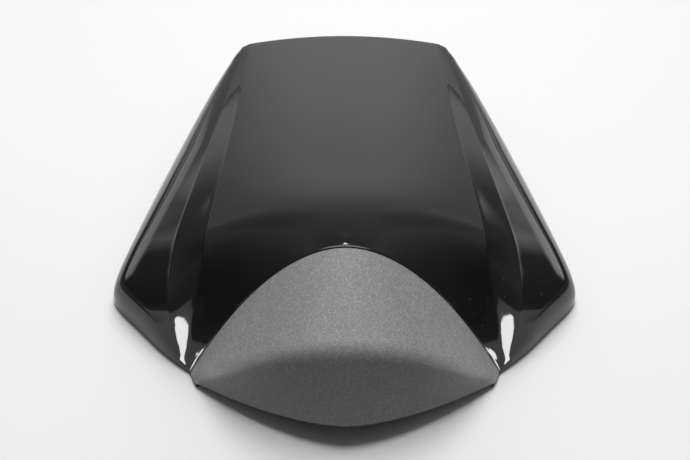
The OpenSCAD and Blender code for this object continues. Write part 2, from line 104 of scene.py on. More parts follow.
@dataclass
class CowlForm:
    """The long lines and surfaces of the cowl, in metres, as in the part's source.

    Each long line has one control point for each station. Its run is a share of the way
    from the tail to the tips, its width a share of the way across, and its rise a share
    of the roof's height. A line that lies d under the skin moves by shares of d: pull is
    back from the arch, draw is towards the middle, first away from the arch and then at
    it, and drop is down. An end is how far a line of the pad stops inside, ahead of and
    above the shell's tip.
    """

    length: float = 318 * MM
    wing_w: float = 291 * MM
    crown_h: float = 97 * MM
    wall: float = 3 * MM
    tail_w: float = 154 * MM
    tail_h: float = 50 * MM
    tail_bow: float = 2.5 * MM
    hump_tail_w: float = 136 * MM
    tip_w: float = 186 * MM
    tip_h: float = 3 * MM
    tip_back: float = 50.4 * MM
    arch_back: float = 18 * MM
    roll: float = 32 * MM
    foot_draft: float = 1 * MM
    pad_t: float = 4 * MM
    lip_w: float = 1.2 * MM
    pad_gap: float = 0.3 * MM
    crease_h: float = 64 * MM
    crease_back: float = 17.6 * MM
    crease_r: float = 6.5 * MM
    front_h: float = 18 * MM
    flat_share: float = 0.35
    arch_power: float = 1.88
    crease_power: tuple = (3, 2.25)
    front_power: tuple = (1.6, 1.5)
    crease_end: tuple = (1.8 * MM, 5 * MM, 0.5 * MM)
    front_end: tuple = (4 * MM, 9.4 * MM, 1 * MM)
    tip_thin: float = 0.25
    tip_share: float = 0.12
    roof_run: tuple = (0, 0.093, 0.258, 0.475, 0.661, 0.762, 0.818, 0.863, 0.908, 0.933)
    roof_rise: tuple = (0, 0.117, 0.326, 0.6, 0.836, 0.968, 1.02, 1.02, 1, 0.957)
    inner_run: tuple = (0, 0.101, 0.265, 0.482, 0.669, 0.803, 0.863, 0.916, 0.96, 1)
    inner_width: tuple = (0, 0.06, 0.08, 0.18, 0.32, 0.44, 0.5, 0.66, 0.96, 1)
    inner_rise: tuple = (0.89, 0.883, 0.873, 0.87, 0.862, 0.853, 0.806, 0.582, 0.227, 0)
    outer_run: tuple = (0.02, 0.108, 0.277, 0.482, 0.658, 0.766, 0.841, 0.908, 0.96, 1)
    outer_width: tuple = (0.61, 0.317, 0.297, 0.314, 0.339, 0.368, 0.394, 0.54, 0.59, 1)
    outer_rise: tuple = (0.87, 0.829, 0.773, 0.703, 0.622, 0.524, 0.444, 0.327, 0.134, 0)
    edge_run: tuple = (0.045, 0.123, 0.295, 0.501, 0.676, 0.766, 0.807, 0.886, 0.957, 1)
    edge_width: tuple = (0, 0.19, 0.438, 0.7, 0.89, 1, 0.978)
    edge_front: tuple = (0.6, 0.286, 0)
    edge_rise: tuple = (0.84, 0.757, 0.628, 0.473, 0.347, 0.23, 0.173, 0.133, 0.072, 0)
    roll_share: tuple = (0, 0.56, 0.88, 1, 0.94, 0.81, 0.5, 0.31, 0.19, 0)
    rim_share: tuple = (0, 0, 0, 0, 0, 0, 0.5, 1, 1, 1)
    roof_pull: float = 1.6
    crease_pull: float = 1.3
    inner_draw: tuple = (0.55, 1)
    outer_draw: tuple = (0.6, 1)
    inner_drop: float = 0.85
    outer_drop: float = 0.8
    edge_drop: float = 0.6
    most_round: float = 0.45
    most_inset: float = 0.8
    side_inset: float = 1.1
    slope_step: float = 0.002
    tiny: float = 1e-5

    def __post_init__(self) -> None:
        """Works out the places that the sizes give."""
        self.tail_y = self.length / 2 - self.foot_draft
        self.front_y = -self.length / 2
        self.tip_y = self.front_y + self.tip_back
        self.arch_y = self.tip_y + self.arch_back
        self.tip_x = self.tip_w / 2
        self.run = self.tail_y - self.tip_y
        self.stations = len(self.roof_run)

    def along(self, share: float) -> float:
        """Y at a share of the run from the tail to the tips."""
        return self.tail_y - self.run * share

    def line_up(self, share: float, k: int) -> float:
        """Height at a share of the roof's height at station k."""
        return mix(self.tip_h, mix(self.tail_h, self.crown_h, self.roof_rise[k]), share)

    def shift(self, k: int, d: float, last: int, pull: float) -> float:
        """How far a control point moves along the cowl, when its line lies d under the skin.

        Args:
            k: The station.
            d: Depth under the outer skin.
            last: The station after which the points move back from the arch.
            pull: How far they move there, as a share of d.

        Returns:
            The move in y: ahead at the tail, back near the arch, and none between.
        """
        if k == 0:
            return -d
        return pull * d if k > last else 0

    def roof_line(self, d: float) -> np.ndarray:
        """Control points of the roof's middle line.

        Args:
            d: Depth under the outer skin.

        Returns:
            One point for each station.
        """
        return np.array([
            (0, self.along(self.roof_run[k]) + self.shift(k, d, 7, self.roof_pull),
             mix(self.tail_h, self.crown_h, self.roof_rise[k]) - d)
            for k in range(self.stations)
        ])

    def inner_line(self, d: float) -> np.ndarray:
        """Control points of the crease between the hump and its facet.

        Args:
            d: Depth under the outer skin.

        Returns:
            One point for each station.
        """
        rows = []
        for k in range(self.stations):
            bow = self.tail_bow if k == 0 else 0
            rows.append((
                mix(self.hump_tail_w / 2, self.tip_x, self.inner_width[k]) - self.inner_draw[k > 6] * d,
                self.along(self.inner_run[k]) + self.shift(k, d, 7, self.crease_pull) - bow,
                self.line_up(self.inner_rise[k], k) - self.inner_drop * d))
        return np.array(rows)

    def edge_line(self, d: float) -> np.ndarray:
        """Control points of the wing's edge, before its shoulder is rolled.

        Args:
            d: Depth under the outer skin.

        Returns:
            One point for each station.
        """
        rows, corner, turn = [], self.wing_w / 2, len(self.edge_width)
        for k in range(self.stations):
            if k < turn:
                x = mix(self.tail_w / 2, corner, self.edge_width[k])
            else:
                x = mix(self.tip_x, corner, self.edge_front[k - turn])
            rows.append((x - d, self.along(self.edge_run[k]) + self.shift(k, d, 5, self.crease_pull),
                         self.line_up(self.edge_rise[k], k) - self.edge_drop * d))
        return np.array(rows)

    def outer_line(self, d: float) -> np.ndarray:
        """Control points of the crease between the facet and the wing.

        Args:
            d: Depth under the outer skin.

        Returns:
            One point for each station.
        """
        a, b, rows = self.inner_line(0), self.edge_line(0), []
        for k in range(self.stations):
            rows.append((mix(a[k][0], b[k][0], self.outer_width[k]) - self.outer_draw[k > 7] * d,
                         self.along(self.outer_run[k]) + self.shift(k, d, 7, self.crease_pull),
                         self.line_up(self.outer_rise[k], k) - self.outer_drop * d))
        return np.array(rows)

    def rim_z(self, v: np.ndarray) -> np.ndarray:
        """Height of the lower rim at each v."""
        return self.tip_h * spline(self.rim_share, v)[:, 0]

    def arch(self, u: np.ndarray) -> np.ndarray:
        """Points of the arch over the pad.

        Args:
            u: From -1 at the left tip to 1 at the right tip.

        Returns:
            One point for each u.
        """
        a = np.abs(u)
        top = mix(self.tail_h, self.crown_h, self.roof_rise[-1])
        return np.stack([self.tip_x * u, mix(self.arch_y, self.tip_y, a * a),
                         mix(top, self.tip_h, a ** self.arch_power)], -1)

    def crease(self, u: np.ndarray) -> np.ndarray:
        """Points of the crease across the pad before it is rounded.

        Args:
            u: From -1 at the left end to 1 at the right end.

        Returns:
            One point for each u.
        """
        a, (inward, ahead, above) = np.abs(u), self.crease_end
        return np.stack([(self.tip_x - inward) * u,
                         mix(self.front_y + self.crease_back, self.tip_y - ahead, a ** self.crease_power[0]),
                         mix(self.crease_h, self.tip_h + above, a ** self.crease_power[1])], -1)

    def front(self, u: np.ndarray) -> np.ndarray:
        """Points of the pad's lower edge.

        Args:
            u: From -1 at the left end to 1 at the right end.

        Returns:
            One point for each u.
        """
        a, (inward, ahead, above) = np.abs(u), self.front_end
        return np.stack([(self.tip_x - inward) * u,
                         mix(self.front_y, self.tip_y - ahead, a ** self.front_power[0]),
                         mix(self.front_h, self.tip_h + above, a ** self.front_power[1])], -1)

    def face(self, u: np.ndarray, w: np.ndarray) -> np.ndarray:
        """Points of the pad's face.

        Args:
            u: From -1 at the left end to 1 at the right end.
            w: From 0 at the arch to 1 at the lower edge.

        Returns:
            One point for each pair of u and w.
        """
        u, w = np.broadcast_arrays(np.asarray(u, float), np.asarray(w, float))
        p, c, q = self.arch(u), self.crease(u), self.front(u)

        def off(end: np.ndarray) -> np.ndarray:
            """Point where the crease's round meets the flat towards end."""
            size = np.maximum(np.linalg.norm(end - c, axis=-1, keepdims=True), self.tiny)
            return c + (end - c) * np.minimum(self.crease_r / size, self.most_round)

        up, down, s = off(p), off(q), self.flat_share
        wk = w[..., None]
        f = np.clip((wk - s) / (1 - 2 * s), 0, 1)
        upper = mix(p, up, wk / s)
        lower = mix(down, q, (wk - 1 + s) / s)
        middle = bend(up, c, down, f)
        return np.where(wk < s, upper, np.where(wk > 1 - s, lower, middle))

    def face_normal(self, u: np.ndarray, w: np.ndarray) -> np.ndarray:
        """Outward normal of the pad's face.

        Args:
            u: From -1 at the left end to 1 at the right end.
            w: From 0 at the arch to 1 at the lower edge.

        Returns:
            One vector of length one for each pair of u and w.
        """
        h = self.slope_step
        side = self.face(np.minimum(u + h, 1), w) - self.face(np.maximum(u - h, -1), w)
        rise = self.face(u, np.maximum(w - h, 0)) - self.face(u, np.minimum(w + h, 1))
        return unit(np.cross(side, rise))

    def under_face(self, u: np.ndarray, w: np.ndarray, q: float) -> np.ndarray:
        """Points under the pad's face; the pad thins towards its ends.

        Args:
            u: From -1 at the left end to 1 at the right end.
            w: From 0 at the arch to 1 at the lower edge.
            q: Depth under the face.

        Returns:
            One point for each pair of u and w.
        """
        u, w = np.broadcast_arrays(np.asarray(u, float), np.asarray(w, float))
        thin = np.minimum(1, self.tip_thin + (1 - np.abs(u)) / self.tip_share)
        depth = min(q, self.pad_t) * thin + max(q - self.pad_t, 0)
        return self.face(u, w) - depth[..., None] * self.face_normal(u, w)

    def inset(self, u: np.ndarray, w: np.ndarray, e: float, q: float, free: float = 0) -> np.ndarray:
        """Points under the face, drawn in from its outline.

        Args:
            u: From -1 at the left end to 1 at the right end.
            w: From 0 at the arch to 1 at the lower edge.
            e: How far they are drawn in at the arch.
            q: Depth under the face.
            free: How far they are drawn in at the ends and the lower edge.

        Returns:
            One point for each pair of u and w.
        """
        u, w = np.broadcast_arrays(np.asarray(u, float), np.asarray(w, float))
        us = u * (1 - self.side_inset * free / self.tip_x)
        p, c, f = self.arch(us), self.crease(us), self.front(us)

        def part(end: np.ndarray, size: float) -> np.ndarray:
            """Share of w that the inset takes at one end.

            Args:
                end: Points of the arch or of the lower edge.
                size: How far the inset goes in, in metres.

            Returns:
                The share for each point.
            """
            gap = np.maximum(np.linalg.norm(end - c, axis=-1), self.tiny)
            flat = gap * (1 - np.minimum(self.crease_r / gap, self.most_round))
            return self.flat_share * np.minimum(size / np.maximum(flat, self.tiny), self.most_inset)

        return self.under_face(us, mix(part(p, e), 1 - part(f, free), w), q)


def face_places(across: int, down: int) -> tuple[np.ndarray, np.ndarray]:
    """Places of a grid over the pad's face.

    Args:
        across: Number of cells from end to end.
        down: Number of cells from the arch to the lower edge.

    Returns:
        Two grids: u from -1 to 1, and w from 0 to 1.
    """
    u, w = np.meshgrid(np.linspace(-1, 1, across + 1), np.linspace(0, 1, down + 1))
    return u, w


class MeshBook:
    """Points and faces that are gathered into one mesh."""

    def __init__(self) -> None:
        """Starts with nothing in it."""
        self.points: list[np.ndarray] = []
        self.faces: list[tuple[int, ...]] = []
        self.count = 0

    def add_points(self, pts: np.ndarray) -> int:
        """Adds points to the book.

        Args:
            pts: Any array whose last axis holds coordinates.

        Returns:
            The number of the first new point.
        """
        pts = np.asarray(pts, float).reshape(-1, 3)
        first = self.count
        self.points.append(pts)
        self.count += len(pts)
        return first

    def grid(self, pts: np.ndarray, flip: bool = False, ring: bool = False) -> None:
        """Adds a grid of points with a quad in each of its cells.

        Args:
            pts: Rows of points, all of one length.
            flip: Turns the faces round.
            ring: Joins the last column to the first one.
        """
        m, n = pts.shape[:2]
        first = self.add_points(pts)
        for j in range(m - 1):
            for i in range(n if ring else n - 1):
                k = (i + 1) % n
                quad = (first + j * n + i, first + j * n + k,
                        first + (j + 1) * n + k, first + (j + 1) * n + i)
                self.faces.append(quad[::-1] if flip else quad)

    def fan(self, ring: np.ndarray, flip: bool = False) -> None:
        """Adds one flat face over a ring of points.

        Args:
            ring: The points in order.
            flip: Turns the face round.
        """
        first = self.add_points(ring)
        face = tuple(range(first, first + len(ring)))
        self.faces.append(face[::-1] if flip else face)

    def build(self, name: str, merge: float = 2e-6, sharp: float = 38) -> bpy.types.Object:
        """Makes the object and welds points that fall together.

        Args:
            name: The piece's name.
            merge: Distance under which points are welded, in metres.
            sharp: Angle over which an edge stays sharp, in degrees.

        Returns:
            The new object, linked to the scene.
        """
        mesh = bpy.data.meshes.new(name)
        mesh.from_pydata(np.concatenate(self.points).tolist(), [], self.faces)
        obj = bpy.data.objects.new(name, mesh)
        bpy.context.scene.collection.objects.link(obj)
        weld(mesh, merge)
        mesh.polygons.foreach_set("use_smooth", [True] * len(mesh.polygons))
        mesh.set_sharp_from_angle(angle=math.radians(sharp))
        return obj


def weld(mesh: bpy.types.Mesh, distance: float) -> None:
    """Joins points that fall together and drops the faces that this empties.

    Args:
        mesh: The mesh, which is changed in place.
        distance: Distance under which points are joined, in metres.
    """
    bm = bmesh.new()
    bm.from_mesh(mesh)
    bmesh.ops.remove_doubles(bm, verts=bm.verts, dist=distance)
    bmesh.ops.dissolve_degenerate(bm, dist=distance / 2, edges=bm.edges)
    bm.to_mesh(mesh)
    bm.free()


def add_ramp(tree: bpy.types.NodeTree, source: bpy.types.NodeSocket, stops: list) -> bpy.types.Node:
    """Adds a colour ramp.

    Args:
        tree: The node tree that it goes into.
        source: The output that drives it.
        stops: Pairs of a place from 0 to 1 and a colour.

    Returns:
        The ramp's node.
    """
    node = tree.nodes.new("ShaderNodeValToRGB")
    bar = node.color_ramp.elements
    while len(bar) < len(stops):
        bar.new(0.5)
    for element, (at, colour) in zip(bar, stops):
        element.position = at
        element.color = (*colour, 1)
    tree.links.new(source, node.inputs["Fac"])
    return node


class NodeTree:
    """A short way to write the nodes of one material."""

    def __init__(self, material: bpy.types.Material) -> None:
        """Empties the material's tree and puts one surface shader in it.

        Args:
            material: The material to write.
        """
        material.use_nodes = True
        self.tree = material.node_tree
        self.tree.nodes.clear()
        self.out = self.add("ShaderNodeOutputMaterial")
        self.shader = self.add("ShaderNodeBsdfPrincipled")
        self.link(self.shader, "BSDF", self.out, "Surface")
        self.place = self.add("ShaderNodeTexCoord")

    def add(self, kind: str, **settings: object) -> bpy.types.Node:
        """Adds a node.

        Args:
            kind: The node's type.
            settings: Its properties or the values of its sockets.

        Returns:
            The new node.
        """
        node = self.tree.nodes.new(kind)
        for key, value in settings.items():
            if hasattr(node, key):
                setattr(node, key, value)
            else:
                node.inputs[key.replace("_", " ").title()].default_value = value
        return node

    def link(self, a: bpy.types.Node, out: str, b: bpy.types.Node, socket: str | int) -> None:
        """Joins one node's output to another's input."""
        self.tree.links.new(a.outputs[out], b.inputs[socket])

    def noise(self, scale: float, detail: float = 3, roughness: float = 0.5) -> bpy.types.Node:
        """Noise on the object's own coordinates.

        Args:
            scale: Waves a metre.
            detail: Number of finer layers.
            roughness: Weight of the finer layers.

        Returns:
            The noise node.
        """
        node = self.add("ShaderNodeTexNoise", Scale=scale, Detail=detail, Roughness=roughness)
        self.link(self.place, "Object", node, "Vector")
        return node

    def cells(self, scale: float) -> bpy.types.Node:
        """Cells on the object's own coordinates.

        Args:
            scale: Cells a metre.

        Returns:
            The cell node.
        """
        node = self.add("ShaderNodeTexVoronoi", Scale=scale)
        self.link(self.place, "Object", node, "Vector")
        return node

    def ramp(self, source: bpy.types.Node, out: str, stops: list) -> bpy.types.Node:
        """Colour ramp on one output, with (place, colour) stops."""
        return add_ramp(self.tree, source.outputs[out], stops)

    def scale_to(self, source: bpy.types.Node, out: str, low: float, high: float) -> bpy.types.Node:
        """Maps an output from 0..1 to another range.

        Args:
            source: The node.
            out: The name of its output.
            low: What 0 becomes.
            high: What 1 becomes.

        Returns:
            The node that maps it.
        """
        node = self.add("ShaderNodeMapRange")
        node.inputs["To Min"].default_value = low
        node.inputs["To Max"].default_value = high
        self.link(source, out, node, "Value")
        return node

    def bump(self, source: bpy.types.Node, out: str, depth: float, strength: float = 1,
             after: bpy.types.Node | None = None) -> bpy.types.Node:
        """Relief from one output.

        Args:
            source: The node.
            out: The name of its output.
            depth: Depth of the relief, in metres.
            strength: Share of the relief that is used.
            after: A coarser relief that this one is laid on.

        Returns:
            The relief's node.
        """
        node = self.add("ShaderNodeBump")
        node.inputs["Strength"].default_value = strength
        node.inputs["Distance"].default_value = depth
        self.link(source, out, node, "Height")
        if after is not None:
            self.link(after, "Normal", node, "Normal")
        return node

    def set(self, **values: object) -> None:
        """Sets the shader's own sockets, such as Roughness or Coat_Weight."""
        for key, value in values.items():
            self.shader.inputs[key.replace("_", " ")].default_value = value


def new_material(slot: Slot, name: str) -> tuple[bpy.types.Material, NodeTree]:
    """Makes an empty material.

    Args:
        slot: The slot that it belongs to.
        name: What it is called within the slot.

    Returns:
        The material and its node tree.
    """
    material = bpy.data.materials.new(f"{slot.value}.{name}")
    return material, NodeTree(material)


@dataclass(frozen=True)
class GlossPaint:
    """Black paint under a clear coat, with a faint orange peel and a few dust specks."""

    colour: tuple = (0.0105, 0.0105, 0.011)
    coat_roughness: float = 0.03
    haze: tuple = (0.2, 0.34)
    haze_waves: float = 34
    peel: float = 1.2e-6
    peel_waves: float = 260
    speck_cells: float = 95
    speck_size: float = 0.045
    speck_fade: float = 1.4
    speck_tones: tuple = (0.16, 0.05)
    dusty_waves: float = 11
    dusty_from: tuple = (0.6, 0.63)

    def make(self) -> bpy.types.Material:
        """Builds the material.

        Returns:
            The new material.
        """
        material, t = new_material(Slot.SHELL, "paint")
        t.set(Base_Color=(*self.colour, 1), IOR=1.5, Specular_IOR_Level=0.0, Coat_Weight=1.0,
              Coat_Roughness=self.coat_roughness, Coat_IOR=1.5)
        core, rim = self.speck_tones
        faded = self.speck_size * self.speck_fade
        dust = t.ramp(t.cells(self.speck_cells), "Distance", [
            (0, (core,) * 3), (self.speck_size, (rim,) * 3), (faded, self.colour)])
        low, high = self.dusty_from
        gate = t.ramp(t.noise(self.dusty_waves, 1), "Fac", [(low, (0,) * 3), (high, (1,) * 3)])
        blend = t.add("ShaderNodeMix", data_type="RGBA")
        factor, plain, dusty = blend.inputs[0], blend.inputs[6], blend.inputs[7]
        t.tree.links.new(gate.outputs["Color"], factor)
        plain.default_value = (*self.colour, 1)
        t.tree.links.new(dust.outputs["Color"], dusty)
        t.tree.links.new(blend.outputs[2], t.shader.inputs["Base Color"])
        haze = t.scale_to(t.noise(self.haze_waves, 4, 0.6), "Fac", *self.haze)
        t.link(haze, "Result", t.shader, "Roughness")
        peel = t.bump(t.noise(self.peel_waves, 2), "Fac", self.peel)
        t.link(peel, "Normal", t.shader, "Coat Normal")
        return material


@dataclass(frozen=True)
class GrainedPad:
    """Matt dark moulding with a fine sandy grain; its lightest cells are painted glints."""

    dark: tuple = (0.23, 0.23, 0.232)
    light: tuple = (0.33, 0.33, 0.332)
    # Tone of the lightest grain cells: painted glints, not the grain's own colour.
    painted_glint_fleck: tuple = (0.42, 0.42, 0.423)
    shine: float = 0.9
    roughness: tuple = (0.45, 0.62)
    rough_waves: float = 900
    grain_cells: float = 1900
    grain_depth: float = 130e-6
    coarse_waves: float = 620
    coarse_share: float = 0.7
    relief: float = 0.8

    def make(self) -> bpy.types.Material:
        """Builds the material.

        Returns:
            The new material.
        """
        material, t = new_material(Slot.PAD, "grain")
        t.set(IOR=1.5, Specular_IOR_Level=self.shine)
        cells = t.cells(self.grain_cells)
        # Grain tone that differs at random from cell to cell, with painted glints in its lightest cells.
        grain_and_painted_glints = t.ramp(cells, "Color", [(0.2, self.dark), (0.7, self.light), (0.85, self.painted_glint_fleck)])
        t.link(grain_and_painted_glints, "Color", t.shader, "Base Color")
        rough = t.scale_to(t.noise(self.rough_waves, 2), "Fac", *self.roughness)
        t.link(rough, "Result", t.shader, "Roughness")
        depth = self.grain_depth * self.coarse_share
        coarse = t.bump(t.noise(self.coarse_waves, 2, 0.6), "Fac", depth, self.relief)
        fine = t.bump(cells, "Distance", -self.grain_depth, self.relief, after=coarse)
        t.link(fine, "Normal", t.shader, "Normal")
        return material


@dataclass(frozen=True)
class PlatedSteel:
    """Plated steel with fine drawing marks and a little mottling."""

    slot: Slot
    name: str
    colour: tuple = (0.62, 0.63, 0.65)
    tint: tuple = (0.5, 0.5, 0.48)
    roughness: float = 0.32
    rough_spread: tuple = (0.08, 0.14)
    rough_waves: float = 420
    mottle_waves: float = 180
    mark_waves: float = 1400
    mark_depth: float = 8e-6

    def make(self) -> bpy.types.Material:
        """Builds the material.

        Returns:
            The new material.
        """
        material, t = new_material(self.slot, self.name)
        t.set(Metallic=1.0, IOR=1.5)
        spots = t.noise(self.mottle_waves, 4, 0.6)
        mottle = t.ramp(spots, "Fac", [(0.3, self.tint), (0.62, self.colour)])
        t.link(mottle, "Color", t.shader, "Base Color")
        less, more = self.rough_spread
        rough = t.scale_to(t.noise(self.rough_waves, 3), "Fac", self.roughness - less, self.roughness + more)
        t.link(rough, "Result", t.shader, "Roughness")
        marks = t.bump(t.noise(self.mark_waves, 2), "Fac", self.mark_depth, 0.5)
        t.link(marks, "Normal", t.shader, "Normal")
        return material


@dataclass(frozen=True)
class MouldedPlastic:
    """Black structural plastic with an even spark-eroded grain and flow marks."""

    dark: tuple = (0.016, 0.016, 0.017)
    light: tuple = (0.032, 0.032, 0.033)
    flow_waves: float = 26
    roughness: tuple = (0.42, 0.6)
    rough_waves: float = 300
    grain_cells: float = 1100
    grain_depth: float = 30e-6

    def make(self) -> bpy.types.Material:
        """Builds the material.

        Returns:
            The new material.
        """
        material, t = new_material(Slot.BASE, "plastic")
        t.set(IOR=1.49)
        tone = t.ramp(t.noise(self.flow_waves, 4, 0.65), "Fac", [(0.35, self.dark), (0.7, self.light)])
        t.link(tone, "Color", t.shader, "Base Color")
        rough = t.scale_to(t.noise(self.rough_waves, 2), "Fac", *self.roughness)
        t.link(rough, "Result", t.shader, "Roughness")
        grain = t.bump(t.cells(self.grain_cells), "Distance", self.grain_depth, 0.6)
        t.link(grain, "Normal", t.shader, "Normal")
        return material


@dataclass(frozen=True)
class MouldedRubber:
    """Soft black rubber, matt, with a light bloom."""

    dark: tuple = (0.014, 0.014, 0.014)
    bloom: tuple = (0.04, 0.04, 0.041)
    bloom_waves: float = 90
    shine: float = 0.35
    roughness: tuple = (0.7, 0.9)
    rough_waves: float = 500
    grain_waves: float = 1600
    grain_depth: float = 18e-6

    def make(self) -> bpy.types.Material:
        """Builds the material.

        Returns:
            The new material.
        """
        material, t = new_material(Slot.RUBBER, "rubber")
        t.set(IOR=1.5, Specular_IOR_Level=self.shine)
        tone = t.ramp(t.noise(self.bloom_waves, 5, 0.7), "Fac", [(0.4, self.dark), (0.75, self.bloom)])
        t.link(tone, "Color", t.shader, "Base Color")
        rough = t.scale_to(t.noise(self.rough_waves, 2), "Fac", *self.roughness)
        t.link(rough, "Result", t.shader, "Roughness")
        grain = t.bump(t.noise(self.grain_waves, 2), "Fac", self.grain_depth, 0.6)
        t.link(grain, "Normal", t.shader, "Normal")
        return material


@dataclass
class CowlShell:
    """The moulded shell: outer skin, pad recess, rim, inner skin, ribs and bosses.

    A row of the skin runs across roof, inner crease, facet, outer crease, wing, roll and
    foot, and each kind of steps says how many it has of each. The rounds of the creases
    are given as pairs of a place, from the tail at 0 to the tips at 1, and a size. A
    boss stands at such a place and a distance inside the wing's edge. The cross ribs
    stand at such places, and the long ribs at a share of the hump's width at the tail.
    """

    form: CowlForm
    crease_round: tuple = ((0, 0.2 * MM), (0.7, 0.2 * MM), (0.85, 1.2 * MM), (1, 1.2 * MM))
    hard_round: float = 0.2 * MM
    edge_round: float = 1.2 * MM
    edge_steps: int = 4
    lip_round: float = 0.6 * MM
    lip_edge: float = 0.3 * MM
    lip_turn: float = 0.1 * MM
    rib_t: float = 2.2 * MM
    rib_h: float = 7 * MM
    boss_d: float = 11 * MM
    boss_foot: float = 22.8 * MM
    boss_taper: float = 1 * MM
    screw_r: float = 2.6 * MM
    boss_sides: int = 32
    long_cells: int = 59
    cross_cells: int = 89
    sunk: float = 0.4 * MM
    rows: int = 168
    wall_rows: int = 10
    inner_rows: int = 72
    inner_wall_rows: int = 4
    probe_rows: int = 60
    boss_spots: tuple = ((0.038, 32.5 * MM), (0.305, 39 * MM), (0.68, 44 * MM))
    cross_ribs: tuple = (0.233, 0.488, 0.743)
    long_rib: float = 0.28
    steps: tuple = (26, 4, 6, 4, 9, 16, 5)
    inner_steps: tuple = (14, 1, 3, 1, 4, 6, 2)
    probe_steps: tuple = (12, 1, 3, 1, 4, 6, 2)
    lip_cells: int = 200
    seat_cells: tuple = (100, 30)
    back_cells: tuple = (60, 24)
    strip_cells: int = 19
    least_roll: float = 1 * MM
    most_roll: float = 0.85
    most_crease: tuple = (0.3, 0.4)
    foot_run: float = 0.4
    tail_near: float = 0.006
    tail_past: float = 0.012
    probe_top: float = 0.2
    book: MeshBook = field(default_factory=MeshBook)

    def half_rows(self, v: np.ndarray, d: float, foot_z: np.ndarray, steps: tuple,
                  soft: bool) -> np.ndarray:
        """Cross rows of the skin from the roof's middle line to the rim.

        Args:
            v: Places of the rows, from the tail at 0 to the tips at 1.
            d: Depth under the outer skin.
            foot_z: Height of the rim at each row.
            steps: Steps across roof, inner crease, facet, outer crease, wing, roll and foot.
            soft: Whether both creases have their full rounds.

        Returns:
            An array of rows, columns and coordinates.
        """
        f = self.form
        at, size = np.array(self.crease_round).T
        round_off = np.interp(v, at, size) if soft else np.full(len(v), self.hard_round)
        c, b = spline(f.roof_line(d), v), spline(f.inner_line(d), v)
        a, e = spline(f.outer_line(d), v), spline(f.edge_line(d), v)
        foot = e + 0
        foot[:, 0] += f.foot_draft * np.minimum(1, (1 - v) / self.foot_run)
        foot[:, 2] = foot_z
        wing, wall = a - e, foot - e
        wing_len = np.maximum(np.linalg.norm(wing, axis=1), f.tiny)
        wall_len = np.maximum(e[:, 2] - foot_z, f.tiny)
        r = max(f.roll - d, self.least_roll) * spline(f.roll_share, v)[:, 0]
        s0 = e + wing * (np.minimum(r, self.most_roll * wing_len) / wing_len)[:, None]
        t0 = e + wall * (np.minimum(r, self.most_roll * wall_len) / wall_len)[:, None]
        facet = np.linalg.norm(a - b, axis=1)
        flat = np.linalg.norm(a - s0, axis=1)
        rb = np.minimum(round_off, self.most_crease[0] * facet)
        ra = np.minimum(rb, self.most_crease[1] * flat)

        def roof_at(u: np.ndarray) -> np.ndarray:
            """Points of the roof, whose curve turns to the arch's over its last quarter.

            Args:
                u: Share of the roof's half width at each row.

            Returns:
                One point for each row.
            """
            power = mix(2, f.arch_power, np.maximum(0, 4 * v - 3))
            return np.stack([u * b[:, 0], mix(c[:, 1], b[:, 1], u * u),
                             mix(c[:, 2], b[:, 2], np.abs(u) ** power)], -1)

        u_end = 1 - rb / np.maximum(b[:, 0], f.tiny)
        to_a = unit(a - b)
        b_in, b_out = roof_at(u_end), b + to_a * rb[:, None]
        a_in, a_out = a - to_a * ra[:, None], a + unit(s0 - a) * ra[:, None]
        cols = [roof_at(u_end * k / steps[0]) for k in range(steps[0] + 1)]
        past_roof = ((bend, (b_in, b, b_out)), (mix, (b_out, a_in)), (bend, (a_in, a, a_out)),
                     (mix, (a_out, s0)), (bend, (s0, e, t0)), (mix, (t0, foot)))
        for (join, ends), n in zip(past_roof, steps[1:]):
            cols += [join(*ends, k / n) for k in range(1, n + 1)]
        return np.stack(cols, 1)

    @staticmethod
    def whole(half: np.ndarray) -> np.ndarray:
        """Rows from the left rim to the right rim, from the right halves."""
        left = half[:, :0:-1] * np.array([-1, 1, 1])
        return np.concatenate([left, half], 1)

    def tail_wall(self, first: np.ndarray, steps: tuple, rows: int) -> np.ndarray:
        """Rows of the tail wall, from the rim up to the tail edge.

        Args:
            first: The first row of the skin, which is the tail edge.
            steps: Steps across that row.
            rows: Number of rows.

        Returns:
            An array of rows, columns and coordinates.
        """
        foot = first.copy()
        roof = steps[0]
        foot[:roof + 1, 1] += self.form.foot_draft
        foot[:, 2] = 0
        corner = first[-1]
        foot[roof + 1:, 0] = corner[0]
        foot[roof + 1:, 1] = corner[1]
        share = np.linspace(0, 1, rows)[:, None, None]
        return mix(foot[None], first[None], share)

    def skin(self) -> np.ndarray:
        """Half of the outer skin from the tail's foot over the roof to the arch.

        Returns:
            An array of rows, columns and coordinates.
        """
        v, start = np.linspace(0, 1, self.rows), np.array([0, self.tail_near])
        body = self.half_rows(v, 0, self.form.rim_z(v), self.steps, True)
        wall = self.tail_wall(body[0], self.steps, self.wall_rows)
        near = self.half_rows(start, 0, self.form.rim_z(start), self.steps, True)
        off = unit(near[1] - near[0]) * self.edge_round
        drop = unit(wall[-2] - wall[-1]) * self.edge_round
        edge, n = near[0], self.edge_steps
        rounded = [bend(edge + drop, edge, edge + off, k / n) for k in range(n + 1)]
        past = v > self.tail_past
        return np.concatenate([wall[:-1], np.array(rounded), body[past]])

    def add_outer(self) -> None:
        """Outer skin, with the edge of the arch turned down to the lip."""
        f, n = self.form, self.edge_steps
        half = self.skin()
        last_roof = self.steps[0]
        u = half[-1, :, 0] / f.tip_x
        top = f.arch(np.clip(u, 0, 1))
        top[last_roof + 1:] = half[-1, last_roof + 1:]
        half[-1] = top
        before = unit(half[-2] - half[-1])
        turn = f.inset(np.clip(u, 0, 1), 0.0, self.lip_round, 0)
        lip = [bend(half[-1] + before * self.lip_round, half[-1], turn, k / n) for k in range(n + 1)]
        rows = np.concatenate([half[:-1], np.array(lip)])
        self.book.grid(self.whole(rows))

